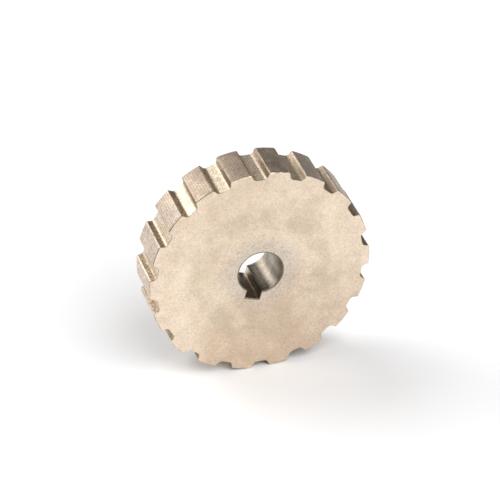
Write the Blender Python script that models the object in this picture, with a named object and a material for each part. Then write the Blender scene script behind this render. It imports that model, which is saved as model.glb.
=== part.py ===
"""Timing belt pulley: a flat, one-piece toothed wheel with a keyed bore.

The wheel has 18 trapezoidal belt grooves of half-inch pitch, two plain faces,
no flanges and no hub. It is made as a shop would make it: a toothed bar is
hobbed, a slice of it is faced, bored and chamfered on a lathe, and a broach
cuts the keyway through the bore.

The frame: the wheel stands on its rim, its axis along Y, its front face
towards -Y, +Z up, and the origin in the middle of the bore at half width.
Groove bottoms lie exactly at the top and at the bottom of the wheel.
Lengths are metres. Every outline below is drawn flat in local XY, with the
wheel's axis along local Z, and the finished wheel is turned upright.
"""
import math

import bmesh
import bpy
from mathutils import Vector

# Belt drive
TEETH = 18
BELT_PITCH = 0.0127
PITCH_LINE_OFFSET = 0.000686     # from the tooth tips out to the belt's pitch line
FACE_WIDTH = 0.015875

# One belt groove, seen along the axis
GROOVE_GAP = 0.0059              # across the mouth, between sharp corners
GROOVE_DEPTH = 0.0022            # from the outside diameter to the flat bottom
FLANK_ANGLE = math.radians(25)   # each flank, from the groove's centre line
ROOT_RADIUS = 0.0013
TIP_RADIUS = 0.0006

# Lathe work
RIM_CHAMFER = 0.00015            # the teeth's ends are nearly sharp
BORE_DIAMETER = 0.0143
BORE_EDGE_BREAK = 0.0002

# Keyway, for a parallel key
KEYWAY_WIDTH = 0.00476
KEYWAY_FLOOR = 0.0095            # from the wheel's axis
KEYWAY_CORNER = 0.0002           # radius left by the broach in both corners
KEYWAY_TURN = math.radians(17)   # from straight down towards -X

# Mesh fineness
TIP_STEPS = 3
ROOT_STEPS = 5
LAND_STEPS = 4
TURNED_STEPS = 144
CORNER_STEPS = 3

# Worked out from the above
PITCH_DIAMETER = TEETH * BELT_PITCH / math.pi
OUTER_RADIUS = PITCH_DIAMETER / 2 - PITCH_LINE_OFFSET
TOOTH_ANGLE = 2 * math.pi / TEETH
CLEAR = 0.002                    # how far cutters and raw stock reach past the finished faces


def clear_scene():
    """Start from an empty scene."""
    for old in list(bpy.data.objects):
        bpy.data.objects.remove(old, do_unlink=True)


def arc(centre, radius, start, end, steps):
    """Points along an arc, both ends included."""
    points = []
    for i in range(steps + 1):
        angle = start + (end - start) * i / steps
        points.append(centre + radius * Vector((math.cos(angle), math.sin(angle))))
    return points


def half_groove():
    """Right half of one belt groove, from its bottom out to the tooth's land.

    The groove's centre line is +Y and the wheel's centre is the origin. The
    root fillet is tangent to the flat bottom and the flank, and the tip
    rounding is tangent to the flank and the outside diameter.
    """
    half_gap = GROOVE_GAP / 2
    mouth = Vector((half_gap, math.sqrt(OUTER_RADIUS ** 2 - half_gap ** 2)))
    down_flank = Vector((-math.sin(FLANK_ANGLE), -math.cos(FLANK_ANGLE)))
    into_tooth = Vector((math.cos(FLANK_ANGLE), -math.sin(FLANK_ANGLE)))

    root_height = OUTER_RADIUS - GROOVE_DEPTH + ROOT_RADIUS
    down = (mouth.y - root_height + ROOT_RADIUS * math.sin(FLANK_ANGLE)) / math.cos(FLANK_ANGLE)
    root_centre = mouth + down * down_flank - ROOT_RADIUS * into_tooth
    root = arc(root_centre, ROOT_RADIUS, -math.pi / 2, -FLANK_ANGLE, ROOT_STEPS)

    offset_mouth = mouth + TIP_RADIUS * into_tooth
    along = offset_mouth.dot(down_flank)
    reach = OUTER_RADIUS - TIP_RADIUS
    down = -along - math.sqrt(along ** 2 - offset_mouth.length_squared + reach ** 2)
    tip_centre = offset_mouth + down * down_flank
    tip_end = math.atan2(tip_centre.y, tip_centre.x)
    tip = arc(tip_centre, TIP_RADIUS, math.pi - FLANK_ANGLE, tip_end, TIP_STEPS)
    return root + tip


def toothed_outline():
    """The wheel's closed outline, counterclockwise: grooves, and lands between them."""
    right = half_groove()
    left = [Vector((-point.x, point.y)) for point in right]
    land_start = right[-1]
    land_edge = math.pi / 2 - math.atan2(land_start.y, land_start.x)
    outline = []
    for tooth in range(TEETH):
        turn = tooth * TOOTH_ANGLE
        groove = right[::-1] + left
        for point in groove:
            x = point.x * math.cos(turn) - point.y * math.sin(turn)
            y = point.x * math.sin(turn) + point.y * math.cos(turn)
            outline.append(Vector((x, y)))
        first = math.pi / 2 + turn + land_edge
        last = math.pi / 2 + turn + TOOTH_ANGLE - land_edge
        land = arc(Vector((0, 0)), OUTER_RADIUS, first, last, LAND_STEPS)
        outline += land[1:-1]
    return outline


def extrude_outline(name, outline, half_height):
    """A closed prism over a flat outline, from -half_height to +half_height."""
    mesh = bpy.data.meshes.new(name)
    bm = bmesh.new()
    verts = [bm.verts.new((point.x, point.y, -half_height)) for point in outline]
    base = bm.faces.new(verts)
    top = bmesh.ops.extrude_face_region(bm, geom=[base])["geom"]
    moved = [item for item in top if isinstance(item, bmesh.types.BMVert)]
    bmesh.ops.translate(bm, verts=moved, vec=(0, 0, 2 * half_height))
    bmesh.ops.recalc_face_normals(bm, faces=bm.faces)
    bm.to_mesh(mesh)
    bm.free()
    piece = bpy.data.objects.new(name, mesh)
    bpy.context.collection.objects.link(piece)
    return piece


def turned_ring(name, profile, steps):
    """A ring turned about Z from a closed profile of (radius, height) points."""
    mesh = bpy.data.meshes.new(name)
    bm = bmesh.new()
    verts = [bm.verts.new((radius, 0, height)) for radius, height in profile]
    for i, vert in enumerate(verts):
        bm.edges.new((vert, verts[(i + 1) % len(verts)]))
    bm.to_mesh(mesh)
    bm.free()
    piece = bpy.data.objects.new(name, mesh)
    bpy.context.collection.objects.link(piece)
    screw = piece.modifiers.new("turn", "SCREW")
    screw.axis = "Z"
    screw.steps = steps
    screw.render_steps = steps
    screw.use_merge_vertices = True
    screw.merge_threshold = 0.00001
    return piece


def lathe_envelope():
    """What the lathe leaves: two faces, rim chamfers, and a bore with broken edges.

    Its outside stands clear of the teeth, so it only cuts the chamfers.
    """
    half_width = FACE_WIDTH / 2
    bore = BORE_DIAMETER / 2
    outside = OUTER_RADIUS - RIM_CHAMFER
    profile = [
        (outside, half_width),
        (outside + CLEAR, half_width - CLEAR),
        (outside + CLEAR, CLEAR - half_width),
        (outside, -half_width),
        (bore + BORE_EDGE_BREAK, -half_width),
        (bore, BORE_EDGE_BREAK - half_width),
        (bore, half_width - BORE_EDGE_BREAK),
        (bore + BORE_EDGE_BREAK, half_width),
    ]
    return turned_ring("lathe_envelope", profile, TURNED_STEPS)


def broach():
    """The keyway's cutter: a bar from the bore's middle to the keyway's floor."""
    half = KEYWAY_WIDTH / 2
    inner = KEYWAY_CORNER
    left = Vector((inner - half, inner - KEYWAY_FLOOR))
    right = Vector((half - inner, inner - KEYWAY_FLOOR))
    outline = [Vector((half, 0)), Vector((-half, 0))]
    outline += arc(left, inner, math.pi, 1.5 * math.pi, CORNER_STEPS)
    outline += arc(right, inner, 1.5 * math.pi, 2 * math.pi, CORNER_STEPS)
    piece = extrude_outline("broach", outline, FACE_WIDTH / 2 + CLEAR)
    piece.rotation_euler.z = -KEYWAY_TURN
    return piece


def boolean(piece, operation, tool):
    """Cut or trim a piece with a tool that is kept as a hidden guide."""
    tool.hide_render = True
    tool.display_type = "WIRE"
    modifier = piece.modifiers.new(tool.name, "BOOLEAN")
    modifier.operation = operation
    modifier.solver = "EXACT"
    modifier.object = tool


def steel():
    """Bare, slightly tarnished warm grey steel."""
    material = bpy.data.materials.new("bare_steel")
    material.use_nodes = True
    shader = material.node_tree.nodes["Principled BSDF"]
    shader.inputs["Base Color"].default_value = (0.60, 0.51, 0.41, 1)
    shader.inputs["Metallic"].default_value = 0.8
    shader.inputs["Roughness"].default_value = 0.5
    return material


def pulley_wheel():
    """The whole wheel: toothed bar, trimmed by the lathe, then broached."""
    wheel = extrude_outline("pulley_wheel", toothed_outline(), FACE_WIDTH / 2 + CLEAR)
    envelope = lathe_envelope()
    keyway = broach()
    boolean(wheel, "INTERSECT", envelope)
    boolean(wheel, "DIFFERENCE", keyway)
    wheel.data.materials.append(steel())
    wheel.data.shade_smooth()
    wheel.data.set_sharp_from_angle(angle=math.radians(25))

    upright = bpy.data.objects.new("upright", None)
    upright.rotation_euler.x = math.radians(90)
    bpy.context.collection.objects.link(upright)
    for piece in (wheel, envelope, keyway):
        piece.parent = upright


clear_scene()
pulley_wheel()
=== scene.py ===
import math

import bpy
import numpy as np
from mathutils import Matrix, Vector, noise


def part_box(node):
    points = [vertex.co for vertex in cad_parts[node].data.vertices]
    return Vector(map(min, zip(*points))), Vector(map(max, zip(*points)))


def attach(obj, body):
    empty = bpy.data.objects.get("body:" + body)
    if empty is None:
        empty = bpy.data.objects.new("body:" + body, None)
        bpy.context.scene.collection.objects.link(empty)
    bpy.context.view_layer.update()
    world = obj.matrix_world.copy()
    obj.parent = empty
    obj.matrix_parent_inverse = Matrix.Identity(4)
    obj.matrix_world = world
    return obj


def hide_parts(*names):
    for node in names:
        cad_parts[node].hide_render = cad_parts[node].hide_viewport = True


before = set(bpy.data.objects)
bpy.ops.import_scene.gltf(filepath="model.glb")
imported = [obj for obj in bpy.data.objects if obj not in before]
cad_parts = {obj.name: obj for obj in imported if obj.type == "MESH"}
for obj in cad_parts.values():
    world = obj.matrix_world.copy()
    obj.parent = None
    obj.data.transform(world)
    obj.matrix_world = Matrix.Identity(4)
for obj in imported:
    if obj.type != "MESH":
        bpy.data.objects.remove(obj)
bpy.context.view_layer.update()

MM = 0.001
BODY = "root"
NODE = "pulley_wheel"

# The wheel's main sizes come from the frame: its axis is Y, and a tooth points along +X
LOW, HIGH = (Vector(corner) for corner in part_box(NODE))
OUTER_RADIUS = (HIGH.x - LOW.x) / 2
HALF_WIDTH = (HIGH.y - LOW.y) / 2

# The tooth form, as on the CAD wheel
TEETH = 18
GROOVE_GAP = 5.9 * MM
GROOVE_DEPTH = 2.2 * MM
FLANK_ANGLE = math.radians(25)
ROOT_RADIUS = 1.3 * MM
TIP_RADIUS = 0.6 * MM
RIM_CHAMFER = 0.15 * MM
BORE_RADIUS = 7.15 * MM
BORE_BREAK = 0.2 * MM
KEYWAY_HALF = 2.38 * MM
KEYWAY_FLOOR = 9.5 * MM
KEYWAY_CORNER = 0.2 * MM
KEYWAY_AT = math.radians(197)     # clockwise from the top, seen from the front
KEYWAY_SPAN = (math.radians(12.5), math.radians(21.5))   # corners and side walls, from its middle

# Wear and finish that only the fine mesh has
BURR_RADIUS = 0.05 * MM           # rounding of every sharp edge
CHAMFER_BLEND = 0.04 * MM         # rounding where the tooth form meets the chamfer
CHAMFER_WANDER = 0.6              # share by which the rim chamfer's width varies
WANDER_SCALE = 260                # how often it varies, per metre
SCORE_DEPTH = 0.05 * MM           # the broach's scores in the keyway
SCORE_SCALE = 160                 # how close they are, per radian round the axis
NICKS = 26                        # small knocks in each rim chamfer
BORE_PITS = 70                    # pits in the front face, round the bore
RIM_PIT = (math.radians(-46.3), 32.4 * MM)   # the one large pit: clockwise angle, radius
SEED = 7

PITCH = 2 * math.pi / TEETH


# ---------------------------------------------------------------- outlines

def arc(centre, radius, start, end, steps):
    """Points along an arc, both ends included."""
    angles = np.linspace(start, end, steps + 1)
    return np.stack([centre[0] + radius * np.cos(angles), centre[1] + radius * np.sin(angles)], 1)


def half_groove(root_steps, tip_steps, flank_steps):
    """Right half of a belt groove about +Y of a flat drawing, from its bottom out to the land."""
    half_gap = GROOVE_GAP / 2
    mouth = np.array([half_gap, math.sqrt(OUTER_RADIUS ** 2 - half_gap ** 2)])
    down_flank = np.array([-math.sin(FLANK_ANGLE), -math.cos(FLANK_ANGLE)])
    into_tooth = np.array([math.cos(FLANK_ANGLE), -math.sin(FLANK_ANGLE)])

    bottom = OUTER_RADIUS - GROOVE_DEPTH
    down = (mouth[1] - bottom - ROOT_RADIUS + ROOT_RADIUS * math.sin(FLANK_ANGLE)) / math.cos(FLANK_ANGLE)
    root_centre = mouth + down * down_flank - ROOT_RADIUS * into_tooth
    root = arc(root_centre, ROOT_RADIUS, -math.pi / 2, -FLANK_ANGLE, root_steps)

    offset_mouth = mouth + TIP_RADIUS * into_tooth
    along = offset_mouth @ down_flank
    reach = OUTER_RADIUS - TIP_RADIUS
    down = -along - math.sqrt(along ** 2 - offset_mouth @ offset_mouth + reach ** 2)
    tip_centre = offset_mouth + down * down_flank
    tip_end = math.atan2(tip_centre[1], tip_centre[0])
    tip = arc(tip_centre, TIP_RADIUS, math.pi - FLANK_ANGLE, tip_end, tip_steps)

    share = np.linspace(0, 1, flank_steps + 1)[1:-1, None]
    flank = root[-1] + share * (tip[0] - root[-1])
    return np.concatenate([root, flank, tip])


def clock(points):
    """Angle clockwise from +Y of a flat drawing, and radius."""
    return np.arctan2(points[:, 0], points[:, 1]), np.hypot(points[:, 0], points[:, 1])


def half_keyway(grow):
    """Right half of the keyway about +Y: floor, corner, side wall, up to the bore.

    It can be drawn larger all round, for the broken edge at each face.
    """
    half, floor, bore = KEYWAY_HALF + grow, KEYWAY_FLOOR + grow, BORE_RADIUS + grow
    centre = np.array([half - KEYWAY_CORNER, floor - KEYWAY_CORNER])
    across = np.linspace(0, centre[0], 20)[:-1]
    bottom = np.stack([across, np.full(len(across), floor)], 1)
    corner = arc(centre, KEYWAY_CORNER, math.pi / 2, 0, 16)
    heights = np.linspace(centre[1], math.sqrt(bore ** 2 - half ** 2), 40)[1:]
    wall = np.stack([np.full(len(heights), half), heights], 1)
    return np.concatenate([bottom, corner, wall])


class Outline:
    """A closed outline around the axis, as radius against clockwise angle."""

    def __init__(self, angles, radii, repeats, turn=0.0):
        full_angles = np.concatenate([-angles[::-1], angles])
        full_radii = np.concatenate([radii[::-1], radii])
        step = 2 * math.pi / repeats
        self.angles = np.concatenate([full_angles + turn + k * step for k in range(-1, repeats + 1)])
        self.radii = np.tile(full_radii, repeats + 2)

    def radius(self, angle):
        wrapped = np.mod(angle, 2 * math.pi)
        return np.interp(wrapped, self.angles, self.radii)

    def points(self, angle):
        radius = self.radius(angle)
        return np.stack([radius * np.sin(angle), radius * np.cos(angle)], 1)


def rim_outline():
    """The toothed rim."""
    angles, radii = clock(half_groove(24, 24, 24))
    land = np.linspace(angles[-1], PITCH / 2, 12)[1:]
    angles = np.concatenate([[0], angles, land])
    radii = np.concatenate([[OUTER_RADIUS - GROOVE_DEPTH], radii, np.full(len(land), OUTER_RADIUS)])
    return Outline(angles, radii, TEETH)


def bore_outline(grow):
    """The bore with its keyway, at size or drawn larger all round."""
    angles, radii = clock(half_keyway(grow))
    angles = np.append(angles, math.pi)
    radii = np.append(radii, BORE_RADIUS + grow)
    return Outline(angles, radii, 1, turn=KEYWAY_AT)


def angular_stations():
    """Clockwise angles of the mesh's spokes: close together where either outline bends."""
    groove, _ = clock(half_groove(7, 4, 3))
    land = np.linspace(groove[-1], PITCH / 2, 9)[1:]
    half = np.concatenate([[groove[0] / 2], groove, land])
    one_pitch = np.concatenate([-half[::-1][1:], [0], half])
    rim = np.concatenate([one_pitch + k * PITCH for k in range(TEETH)])
    wall = np.linspace(*KEYWAY_SPAN, 32)
    keyway = np.concatenate([-wall, np.linspace(-KEYWAY_SPAN[0], KEYWAY_SPAN[0], 20), wall]) + KEYWAY_AT
    stations = np.unique(np.round(np.mod(np.concatenate([rim, keyway]), 2 * math.pi), 7))
    apart = np.diff(stations, prepend=stations[-1] - 2 * math.pi) > math.radians(0.05)
    return stations[apart]


def outward(points):
    """Unit normals of a closed clockwise outline, pointing away from the axis."""
    along = np.roll(points, -1, axis=0) - np.roll(points, 1, axis=0)
    normal = np.stack([-along[:, 1], along[:, 0]], 1)
    return normal / np.linalg.norm(normal, axis=1, keepdims=True)


# ---------------------------------------------------------------- the wheel's mesh

def wander(points, scale, offset):
    """Smooth noise from -1 to 1 at each point of an array of xyz."""
    return np.array([noise.noise(Vector(point) * scale + offset) for point in points])


def nick_depths(angles, side):
    """How much deeper the chamfer goes where the rim was knocked, at each angle."""
    rng = np.random.default_rng(SEED + side)
    depth = np.zeros(len(angles))
    for place, size, width in zip(rng.uniform(0, 2 * math.pi, NICKS), rng.uniform(0.05, 0.2, NICKS),
                                  rng.uniform(0.004, 0.012, NICKS)):
        away = np.angle(np.exp(1j * (angles - place)))
        depth += size * MM * np.exp(-(away / width) ** 2)
    return depth


def rounded(depth, radius):
    """How far an edge of this radius has dropped away, at a depth below its face."""
    inside = np.clip(radius - depth, 0, radius)
    return radius - np.sqrt(radius ** 2 - inside ** 2)


def soft_min(a, b, blend):
    """The smaller of two values, with the crossing smoothed over a blend length."""
    share = np.clip(0.5 + 0.5 * (b - a) / blend, 0, 1)
    return b + (a - b) * share - blend * share * (1 - share)


def rim_section(rim, normals, chamfer, depth):
    """The toothed outline at one depth below a face: rounded edge, then the lathe's chamfer."""
    points = rim - normals * rounded(depth, BURR_RADIUS)
    radius = np.linalg.norm(points, axis=1)
    limit = soft_min(radius, OUTER_RADIUS - chamfer + depth, CHAMFER_BLEND)
    return points * (limit / radius)[:, None]


def broach_scores(angles):
    """How far the broach's scores stand out of the keyway's walls: the same along its length."""
    from_middle = np.angle(np.exp(1j * (angles - KEYWAY_AT)))
    inside = np.abs(from_middle) < KEYWAY_SPAN[1] - 0.02
    scores = np.array([noise.noise(Vector((angle * SCORE_SCALE, 3.1, 0))) for angle in angles])
    return np.where(inside, scores * SCORE_DEPTH, 0)


def ring_shares(rings, inner_radius, outer_radius, pitted):
    """Where the face's rings lie, as shares of the way from bore to rim.

    On the pitted face they are closer together round the bore and by the rim, where the pits are.
    """
    radius = np.linspace(inner_radius, outer_radius, 400)
    density = np.ones(400)
    if pitted:
        density += 3.5 * np.exp(-((radius - inner_radius) / (6 * MM)) ** 2)
        density += 5.0 * np.exp(-((radius - RIM_PIT[1]) / (0.7 * MM)) ** 2)
    total = np.cumsum(density)
    total = (total - total[0]) / (total[-1] - total[0])
    wanted = np.linspace(0, 1, rings + 2)[1:-1]
    return (np.interp(wanted, total, radius) - inner_radius) / (outer_radius - inner_radius)


def pits():
    """Each pit in the front face as x, z, radius and depth: one by the rim, the rest round the bore."""
    rng = np.random.default_rng(SEED)
    places = [(*RIM_PIT, 0.42 * MM, 0.16 * MM)]
    for _ in range(BORE_PITS):
        angle = rng.uniform(0, 2 * math.pi)
        radius = 8.2 * MM + 7 * MM * rng.uniform(0, 1) ** 1.6
        size = rng.uniform(0.13, 0.3) * MM
        places.append((angle, radius, size, size * 0.6))
    return [(radius * math.sin(angle), radius * math.cos(angle), size, deep)
            for angle, radius, size, deep in places]


def sink_pits(ring, places):
    """Lower a ring of the front face where it crosses a pit."""
    for x, z, size, deep in places:
        away = np.hypot(ring[:, 0] - x, ring[:, 2] - z)
        ring[:, 1] += deep * np.exp(-(away / size) ** 4)


# Depths below each face, in millimetres: close together through the edge and the chamfer
EDGE_DEPTHS = (0, 0.015, 0.035, 0.06, 0.1, 0.14, 0.18, 0.24, 0.32, 0.45, 0.8)
BORE_DEPTHS = (0, 0.1, 0.2, 0.3, 0.8)
FRONT_RINGS = 46                  # rings across each face
BACK_RINGS = 12
RIM_MIDDLE = 7                    # rings between the edges: across the rim, and along the bore
BORE_MIDDLE = 7

REGIONS = ("face", "edge", "rim", "bore")


def lay_sections():
    """The wheel as a closed stack of rings, each an array of xyz, with its region's name."""
    angles = angular_stations()
    rim = rim_outline().points(angles)
    rim_normals = outward(rim)
    spoke_directions = np.stack([np.sin(angles), np.cos(angles)], 1)
    scores = broach_scores(angles)
    rim_xyz = np.stack([rim[:, 0], np.zeros(len(rim)), rim[:, 1]], 1)
    sections = []

    def add(region, flat, y):
        ring = np.stack([flat[:, 0], np.full(len(flat), y), flat[:, 1]], 1)
        sections.append((region, ring))

    chamfers = {}
    for side in (-1, 1):
        drift = wander(rim_xyz, WANDER_SCALE, Vector((0, 5.3 * side, 0)))
        chamfers[side] = RIM_CHAMFER * (1 + CHAMFER_WANDER * drift) + nick_depths(angles, side)

    def bore_section(depth):
        grow = max(BORE_BREAK - depth, 0)
        radius = bore_outline(grow).radius(angles) + scores
        return spoke_directions * radius[:, None]

    def face(side, rings):
        inner = bore_section(0)
        outer = rim_section(rim, rim_normals, chamfers[side], 0)
        shares = ring_shares(rings, BORE_RADIUS, OUTER_RADIUS, pitted=side < 0)
        return [inner + share * (outer - inner) for share in shares]

    for flat in face(-1, FRONT_RINGS):
        add("face", flat, -HALF_WIDTH)
    for depth in EDGE_DEPTHS:
        region = "edge" if depth * MM < RIM_CHAMFER else "rim"
        add(region, rim_section(rim, rim_normals, chamfers[-1], depth * MM), depth * MM - HALF_WIDTH)
    last = EDGE_DEPTHS[-1] * MM
    for y in np.linspace(last - HALF_WIDTH, HALF_WIDTH - last, RIM_MIDDLE + 2)[1:-1]:
        add("rim", rim, y)
    for depth in reversed(EDGE_DEPTHS):
        region = "face" if depth == 0 else "edge" if depth * MM <= RIM_CHAMFER else "rim"
        add(region, rim_section(rim, rim_normals, chamfers[1], depth * MM), HALF_WIDTH - depth * MM)
    for flat in reversed(face(1, BACK_RINGS)):
        add("face", flat, HALF_WIDTH)
    for depth in BORE_DEPTHS:
        add("bore", bore_section(depth * MM), HALF_WIDTH - depth * MM)
    last = BORE_DEPTHS[-1] * MM
    for y in np.linspace(HALF_WIDTH - last, last - HALF_WIDTH, BORE_MIDDLE + 2)[1:-1]:
        add("bore", bore_section(BORE_BREAK), y)
    for depth in reversed(BORE_DEPTHS):
        add("bore", bore_section(depth * MM), depth * MM - HALF_WIDTH)
    places = pits()
    for _, ring in sections[:FRONT_RINGS]:
        sink_pits(ring, places)
    return angles, sections


def build_wheel():
    """One closed mesh: spokes by sections, joined round both ways."""
    angles, sections = lay_sections()
    spokes, rings = len(angles), len(sections)
    verts = np.concatenate([ring for _, ring in sections])

    along = np.arange(spokes)
    following = np.roll(along, -1)
    faces = []
    for ring in range(rings):
        after = (ring + 1) % rings
        quad = [ring * spokes + along, ring * spokes + following,
                after * spokes + following, after * spokes + along]
        faces.append(np.stack(quad, 1))
    faces = np.concatenate(faces)

    mesh = bpy.data.meshes.new("toothed_wheel")
    mesh.from_pydata(verts.tolist(), [], faces.tolist())
    names = [sections[ring][0] for ring in range(rings)]
    slots = np.repeat([REGIONS.index(name) for name in names], spokes).astype(np.int32)
    mesh.polygons.foreach_set("material_index", slots)
    mesh.validate()
    mesh.shade_smooth()
    mesh.set_sharp_from_angle(angle=math.radians(32))
    wheel = bpy.data.objects.new("toothed_wheel", mesh)
    bpy.context.scene.collection.objects.link(wheel)
    return wheel


# ---------------------------------------------------------------- materials

STAIN_AND_SHADE_AT = math.radians(165)      # middle of the face's tan stain and painted shade, clockwise from the top
STAIN_AND_SHADE_TOWARDS = (math.sin(STAIN_AND_SHADE_AT), 0, math.cos(STAIN_AND_SHADE_AT))
GRAIN_AROUND = 0.85               # spacing of the rim's crossed tool marks, in millimetres: round it
GRAIN_ACROSS = 1.1                # and across it


def srgb(red, green, blue):
    """A colour given in ordinary 0 to 255 screen values, as the linear RGBA that shaders take."""
    def linear(value):
        share = value / 255
        return ((share + 0.055) / 1.055) ** 2.4 if value > 10 else share / 12.92

    return (linear(red), linear(green), linear(blue), 1)


class Recipe:
    """A material's node tree. Its coordinates are the wheel's own, in millimetres."""

    def __init__(self, name, metallic, roughness):
        self.material = bpy.data.materials.new(name)
        self.material.use_nodes = True
        self.tree = self.material.node_tree
        self.shader = self.tree.nodes["Principled BSDF"]
        self.shader.inputs["Metallic"].default_value = metallic
        self.shader.inputs["Roughness"].default_value = roughness
        own = self.node("ShaderNodeTexCoord").outputs["Object"]
        self.place = self.vector_math("SCALE", {0: own, "Scale": 1 / MM})
        x, y, z = self.node("ShaderNodeSeparateXYZ", {0: self.place}).outputs
        across = self.vector(x, 0, z)
        self.radius = self.vector_math("LENGTH", {0: across}, "Value")
        self.outwards = self.vector_math("NORMALIZE", {0: across})
        self.depth = y
        self.clockwise = self.math("ARCTAN2", x, z)

    def node(self, kind, inputs=None, **settings):
        made = self.tree.nodes.new(kind)
        for name, value in settings.items():
            setattr(made, name, value)
        for socket, value in (inputs or {}).items():
            if isinstance(value, bpy.types.NodeSocket):
                self.tree.links.new(value, made.inputs[socket])
            else:
                made.inputs[socket].default_value = value
        return made

    def vector(self, x, y, z):
        return self.node("ShaderNodeCombineXYZ", {0: x, 1: y, 2: z}).outputs[0]

    def vector_math(self, operation, inputs, output="Vector"):
        return self.node("ShaderNodeVectorMath", inputs, operation=operation).outputs[output]

    def math(self, operation, a, b=0.0):
        return self.node("ShaderNodeMath", {0: a, 1: b}, operation=operation).outputs[0]

    def times(self, a, b):
        return self.math("MULTIPLY", a, b)

    def noise(self, scale, detail=4, roughness=0.55, distortion=0, place=None, stretch=None, shift=0):
        where = self.place if place is None else place
        if stretch:
            where = self.vector_math("MULTIPLY", {0: where, 1: stretch})
        if shift:
            where = self.vector_math("ADD", {0: where, 1: (shift, shift, shift)})
        inputs = {"Vector": where, "Scale": scale, "Detail": detail,
                  "Roughness": roughness, "Distortion": distortion}
        return self.node("ShaderNodeTexNoise", inputs).outputs["Fac"]

    def fade(self, value, start, end, low=0.0, high=1.0):
        inputs = {"Value": value, "From Min": start, "From Max": end, "To Min": low, "To Max": high}
        return self.node("ShaderNodeMapRange", inputs, interpolation_type="SMOOTHSTEP").outputs[0]

    def sector(self, start, end, low=0.0, high=1.0):
        """A fade by clockwise angle, in degrees."""
        return self.fade(self.clockwise, math.radians(start), math.radians(end), low, high)

    def tool_marks(self):
        """A fine grid of shallow grooves on the rim: -1 along each groove, up to 1 between them."""
        around = self.times(self.clockwise, OUTER_RADIUS / MM)
        waver = self.times(self.noise(0.7, 3, 0.6), 0.8)
        waves = []
        for along, spacing in ((self.depth, GRAIN_ACROSS), (around, GRAIN_AROUND)):
            turns = self.times(self.math("ADD", along, waver), 2 * math.pi / spacing)
            waves.append(self.math("SINE", turns))
        return self.math("MINIMUM", *waves)

    def mix(self, share, a, b, blend="MIX"):
        inputs = {0: share, 6: a, 7: b}
        return self.node("ShaderNodeMix", inputs, data_type="RGBA", blend_type=blend).outputs[2]

    def bump(self, height, distance):
        inputs = {"Height": height, "Distance": distance, "Strength": 1}
        return self.node("ShaderNodeBump", inputs).outputs[0]

    def finish(self, colour, roughness, normal):
        self.tree.links.new(colour, self.shader.inputs["Base Color"])
        self.tree.links.new(roughness, self.shader.inputs["Roughness"])
        self.tree.links.new(normal, self.shader.inputs["Normal"])
        return self.material


def face_steel():
    """The two turned faces: cream grey, clouded with tarnish, porous and greyer round the bore."""
    steel = Recipe("face_steel", 0.5, 0.5)
    clouds = steel.fade(steel.noise(0.085, 5, 0.6, 0.6), 0.34, 0.66)
    colour = steel.mix(clouds, srgb(236, 216, 192), srgb(246, 228, 206))
    pink = steel.fade(steel.noise(0.24, 5, 0.62, 0.3, shift=31), 0.46, 0.72, 0, 0.42)
    colour = steel.mix(pink, colour, srgb(228, 200, 182))
    green = steel.fade(steel.noise(0.16, 4, 0.6, 0.8, shift=77), 0.46, 0.7, 0, 0.2)
    colour = steel.mix(green, colour, srgb(210, 196, 170))

    # the tan stain at the bottom, and a fainter one across the top, both partly painted shade where the
    # turned face's reflection is dark
    towards_stain_and_shade = steel.vector_math("DOT_PRODUCT", {0: steel.outwards, 1: STAIN_AND_SHADE_TOWARDS}, "Value")
    waver = steel.fade(steel.noise(0.12, 3, 0.5, shift=44), 0.3, 0.7, -0.25, 0.25)
    ragged = steel.math("ADD", towards_stain_and_shade, waver)
    stain_and_shade = steel.times(steel.fade(ragged, 0.25, 1.15), steel.fade(steel.radius, 6, 14))
    colour = steel.mix(steel.times(stain_and_shade, 0.52), colour, srgb(196, 170, 143))
    dull_and_shaded = steel.times(steel.fade(ragged, -0.2, -1.1), steel.fade(steel.radius, 12, 22))
    colour = steel.mix(steel.times(dull_and_shaded, 0.24), colour, srgb(196, 176, 148))

    # a duller ring halfway out, a greyer one round the bore, and pores
    ring = steel.times(steel.fade(steel.radius, 14, 19), steel.fade(steel.radius, 25, 21))
    ring = steel.times(ring, steel.fade(steel.noise(0.12, 4, 0.55, shift=8), 0.36, 0.66, 0, 0.5))
    colour = steel.mix(ring, colour, srgb(196, 180, 154))
    near_bore = steel.fade(steel.radius, 16, 8)
    colour = steel.mix(steel.times(near_bore, 0.6), colour, srgb(202, 191, 178))
    mottle = steel.fade(steel.noise(1.4, 5, 0.75, shift=12), 0.28, 0.74, 0.87, 1.09)
    colour = steel.mix(1.0, colour, steel.vector(mottle, mottle, mottle), "MULTIPLY")
    pores = steel.fade(steel.noise(2.6, 2, 0.5, shift=5), 0.57, 0.66)
    porosity = steel.times(pores, steel.fade(steel.radius, 17, 8, 0.2, 0.5))
    colour = steel.mix(porosity, colour, srgb(118, 103, 88))

    turning = steel.noise(2.4, 3, 0.6, place=steel.vector(steel.radius, 0, 0))
    height = steel.math("ADD", steel.times(turning, 0.3), steel.times(pores, -0.8))
    height = steel.math("ADD", height, steel.times(steel.noise(1.6, 5, 0.6), 0.6))
    normal = steel.bump(height, 0.02 * MM)
    rough = steel.fade(steel.noise(0.3, 4, 0.6, shift=50), 0.3, 0.7, 0.42, 0.58)
    return steel.finish(colour, rough, normal)


def edge_steel():
    """The rim's chamfer and rounded edges, rubbed bright, with grime and painted shade at the upper left.
    """
    steel = Recipe("edge_steel", 0.8, 0.38)
    wear = steel.fade(steel.noise(0.5, 4, 0.6), 0.38, 0.6)
    colour = steel.mix(wear, srgb(128, 112, 94), srgb(214, 198, 176))
    # painted shade along the chamfer at the upper left, darkened with grime too
    grime_and_shade = steel.times(steel.sector(-95, -82), steel.sector(-20, -30))
    colour = steel.mix(steel.times(grime_and_shade, 0.75), colour, srgb(78, 64, 52))
    normal = steel.bump(steel.noise(2.5, 4, 0.6), 0.02 * MM)
    rough = steel.fade(steel.noise(1.2, 3), 0.3, 0.7, 0.32, 0.48)
    return steel.finish(colour, rough, normal)


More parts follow.
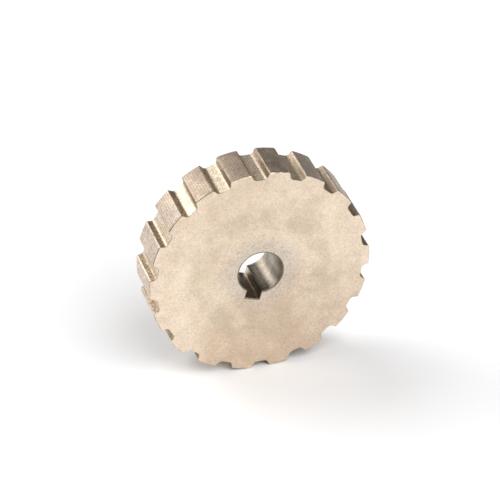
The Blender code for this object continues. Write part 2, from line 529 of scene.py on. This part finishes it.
def rim_steel():
    """Teeth and grooves: cross-grained lands and grimy flanks, both with painted light and shade, cleaner
    groove floors, some rust.
    """
    steel = Recipe("rim_steel", 0.95, 0.36)
    land = OUTER_RADIUS / MM
    bottom = (OUTER_RADIUS - GROOVE_DEPTH) / MM
    on_floor = steel.fade(steel.radius, bottom + 0.45, bottom + 0.12)
    on_flank = steel.times(steel.fade(steel.radius, land - 0.2, land - 0.6),
                           steel.fade(steel.radius, bottom + 0.15, bottom + 0.5))
    clouds = steel.fade(steel.noise(0.2, 4, 0.6), 0.35, 0.65)

    # lands, lighter towards the left, partly tarnish and partly painted shade on the upper and right-hand
    # lands, and groove floors, cleaner still
    tarnish_and_shade = steel.times(steel.sector(-85, -15), steel.sector(45, 0, 0.4, 1))
    clean_lit_land = steel.mix(clouds, srgb(230, 213, 196), srgb(246, 230, 212))
    dull_shaded_land = steel.mix(clouds, srgb(171, 154, 137), srgb(195, 178, 158))
    colour = steel.mix(tarnish_and_shade, clean_lit_land, dull_shaded_land)
    floor = steel.mix(clouds, srgb(234, 217, 191), srgb(246, 231, 204))
    colour = steel.mix(on_floor, colour, floor)

    # flanks: seen at the top, a lighter one on each tooth's left in painted light and a darker one on its
    # right in painted shade, both with grime
    lit_flank_share = steel.math("SINE", steel.times(steel.clockwise, TEETH))
    lit_flank_share = steel.fade(lit_flank_share, -0.3, 0.3)
    grime = steel.fade(steel.noise(1.5, 4, 0.7, shift=61), 0.4, 0.58)
    shaded_flank = steel.mix(grime, srgb(194, 176, 150), srgb(128, 106, 84))
    lit_flank = steel.mix(grime, srgb(242, 227, 203), srgb(168, 149, 124))
    # painted shade: the lit flanks darker towards the front, where tarnished
    dull_and_shaded = steel.times(tarnish_and_shade, steel.fade(steel.depth, 6, -6, 0.35, 0.95))
    lit_flank = steel.mix(dull_and_shaded, lit_flank, srgb(128, 112, 91))
    flank = steel.mix(lit_flank_share, shaded_flank, lit_flank)
    colour = steel.mix(on_flank, colour, flank)
    # painted shade in the grooves on the right-hand side, away from the light
    right_side = steel.sector(10, 34, 0, 0.5)
    right_groove_shade = steel.times(steel.fade(steel.radius, land - 0.3, land - 0.8), right_side)
    colour = steel.mix(right_groove_shade, colour, srgb(118, 100, 82))

    # dark freckles, and rust in the grooves and towards the back
    freckles = steel.fade(steel.noise(1.2, 4, 0.7, shift=9), 0.5, 0.62, 0, 0.4)
    colour = steel.mix(freckles, colour, srgb(112, 92, 74))
    rust = steel.fade(steel.noise(0.8, 4, 0.65, 0.5, shift=21), 0.55, 0.68, 0, 0.75)
    weathered = steel.math("MAXIMUM", steel.times(on_floor, 0.8), steel.fade(steel.depth, 0, 7, 0.2, 0.8))
    rust = steel.times(rust, weathered)
    rust = steel.times(rust, steel.sector(-105, -80, 0.2, 1))
    colour = steel.mix(rust, colour, srgb(178, 122, 78))

    # tool marks, worn away in patches and fainter on the flanks
    marks = steel.tool_marks()
    patchy = steel.fade(steel.noise(0.6, 3, 0.6, shift=14), 0.3, 0.6, 0.15, 0.58)
    depth = steel.times(patchy, steel.fade(on_flank, 0, 1, 1, 0.25))
    depth = steel.times(depth, steel.fade(on_floor, 0, 1, 1, 0.7))
    groove = steel.times(steel.fade(marks, -0.1, -0.95), depth)
    colour = steel.mix(groove, colour, srgb(122, 106, 90))

    height = steel.math("ADD", steel.times(groove, -0.35), steel.noise(1, 4, 0.65))
    normal = steel.bump(height, 0.045 * MM)
    rough = steel.math("ADD", steel.fade(steel.noise(0.8, 4, 0.6, shift=3), 0.3, 0.7, 0.42, 0.54),
                       steel.times(on_floor, -0.08))
    return steel.finish(colour, rough, normal)


def bore_steel():
    """Bore and keyway: reamed round the bore, scored along the keyway, dark with oil, with painted shade
    beside the keyway and by the front mouth, and painted highlights in the keyway.
    """
    steel = Recipe("bore_steel", 0.95, 0.3)
    clouds = steel.fade(steel.noise(0.3, 4, 0.6), 0.35, 0.65)
    colour = steel.mix(clouds, srgb(148, 137, 123), srgb(170, 159, 144))
    # painted shade on the bore walls beside the keyway
    shade_beside_keyway = steel.math("MAXIMUM", steel.sector(150, 161), steel.sector(-95, -125))
    colour = steel.mix(steel.times(shade_beside_keyway, 0.72), colour, srgb(84, 76, 65))
    # painted shade towards the front mouth on the right-hand wall
    front_mouth_shade = steel.times(steel.fade(steel.depth, 3, -6), steel.sector(134, 118))
    colour = steel.mix(steel.times(front_mouth_shade, 0.6), colour, srgb(100, 84, 70))
    spots = steel.fade(steel.noise(0.8, 2, 0.5, shift=17), 0.7, 0.74, 0, 0.7)
    colour = steel.mix(spots, colour, srgb(52, 42, 33))

    # the keyway: grime, darker towards the front, with a painted highlight at the back of its right wall
    # and painted glints along the scores
    bore = BORE_RADIUS / MM
    in_keyway = steel.fade(steel.radius, bore + 0.05, bore + 0.35)
    from_middle = steel.math("SINE", steel.math("SUBTRACT", steel.clockwise, KEYWAY_AT))
    right_wall = steel.times(in_keyway, steel.fade(from_middle, -0.12, -0.22))
    grime_and_shade = steel.times(in_keyway, steel.fade(steel.depth, 7, 3, 0, 0.6))
    colour = steel.mix(grime_and_shade, colour, srgb(104, 87, 69))
    back_wall_highlight = steel.times(right_wall, steel.fade(steel.depth, 4, 7.5, 0, 0.8))
    colour = steel.mix(back_wall_highlight, colour, srgb(226, 214, 196))
    reamed = steel.noise(2.2, 2, 0.5, place=steel.vector(steel.depth, 0, 0))
    scored = steel.noise(4.2, 2, 0.5, stretch=(1, 0.03, 1))
    score_glints = steel.times(right_wall, steel.fade(scored, 0.5, 0.6, 0, 0.6))
    colour = steel.mix(score_glints, colour, srgb(206, 190, 168))

    # the broken edge at each face is rougher
    face = HALF_WIDTH / MM
    mouth = steel.fade(steel.math("ABSOLUTE", steel.depth), face - 0.3, face - 0.15)
    colour = steel.mix(steel.times(mouth, 0.7), colour, srgb(158, 144, 126))
    height = steel.node("ShaderNodeMix", {0: in_keyway, 2: reamed, 3: scored}).outputs[0]
    normal = steel.bump(height, 0.018 * MM)
    rough = steel.fade(steel.noise(0.8, 4, 0.6, shift=3), 0.3, 0.7, 0.25, 0.36)
    rough = steel.math("ADD", rough, steel.times(mouth, 0.35))
    return steel.finish(colour, rough, normal)


# ---------------------------------------------------------------- stage

CAMERA_AZIMUTH = math.radians(-17.1)
CAMERA_ELEVATION = math.radians(33.0)
CAMERA_DISTANCE = 0.866
CAMERA_LENS = 199.4
CAMERA_SHIFT = (-0.0064, 0.0186)
FLOOR_HALF_SIZE = 3.0


def direction(azimuth, elevation):
    """Unit vector from the wheel towards a viewer; azimuth 0 is straight in front."""
    return Vector((math.sin(azimuth) * math.cos(elevation),
                   -math.cos(azimuth) * math.cos(elevation), math.sin(elevation)))


def place_camera():
    data = bpy.data.cameras.new("camera")
    data.lens = CAMERA_LENS
    data.sensor_width = 36
    data.shift_x, data.shift_y = CAMERA_SHIFT
    data.clip_start = 0.01
    camera = bpy.data.objects.new("camera", data)
    towards = direction(CAMERA_AZIMUTH, CAMERA_ELEVATION)
    camera.location = towards * CAMERA_DISTANCE
    camera.rotation_euler = towards.to_track_quat("Z", "Y").to_euler()
    bpy.context.scene.collection.objects.link(camera)
    bpy.context.scene.camera = camera


def softbox(name, azimuth, elevation, distance, size, power):
    """A rectangular white light facing the wheel: angles in degrees, distance and size in metres."""
    data = bpy.data.lights.new(name, "AREA")
    data.shape = "RECTANGLE"
    data.size, data.size_y = size
    data.energy = power
    lamp = bpy.data.objects.new(name, data)
    towards = direction(math.radians(azimuth), math.radians(elevation))
    lamp.location = towards * distance
    lamp.rotation_euler = towards.to_track_quat("Z", "Y").to_euler()
    bpy.context.scene.collection.objects.link(lamp)


def set_stage():
    """A pale floor under the wheel, a dim room, and five softboxes."""
    size = FLOOR_HALF_SIZE
    mesh = bpy.data.meshes.new("floor")
    corners = [(-size, -size, LOW.z), (size, -size, LOW.z), (size, size, LOW.z), (-size, size, LOW.z)]
    mesh.from_pydata(corners, [], [(0, 1, 2, 3)])
    floor = bpy.data.objects.new("floor", mesh)
    bpy.context.scene.collection.objects.link(floor)
    paper = bpy.data.materials.new("pale_paper")
    paper.use_nodes = True
    shader = paper.node_tree.nodes["Principled BSDF"]
    shader.inputs["Base Color"].default_value = (0.92, 0.92, 0.92, 1)
    shader.inputs["Roughness"].default_value = 0.9
    shader.inputs["Specular IOR Level"].default_value = 0.1
    mesh.materials.append(paper)

    world = bpy.data.worlds.new("studio")
    world.use_nodes = True
    background = world.node_tree.nodes["Background"]
    background.inputs["Color"].default_value = (0.95, 0.96, 1, 1)
    background.inputs["Strength"].default_value = 0.2
    bpy.context.scene.world = world

    softbox("key", 25, 50, 1.3, (1.3, 1.1), 17)
    softbox("left_top", -150, 54, 1.1, (0.8, 0.45), 3.8)
    softbox("left_fill", -128, 32, 1.1, (0.7, 0.5), 4.5)
    softbox("left_low", -142, 8, 1.2, (0.7, 0.26), 0.5)
    softbox("left_window", -152, 24, 1.2, (0.42, 0.4), 0.65)


# ---------------------------------------------------------------- assembly

wheel = build_wheel()
for material in (face_steel(), edge_steel(), rim_steel(), bore_steel()):
    wheel.data.materials.append(material)
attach(wheel, BODY)
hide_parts(NODE)

set_stage()
place_camera()
bpy.context.scene.view_settings.view_transform = "Standard"
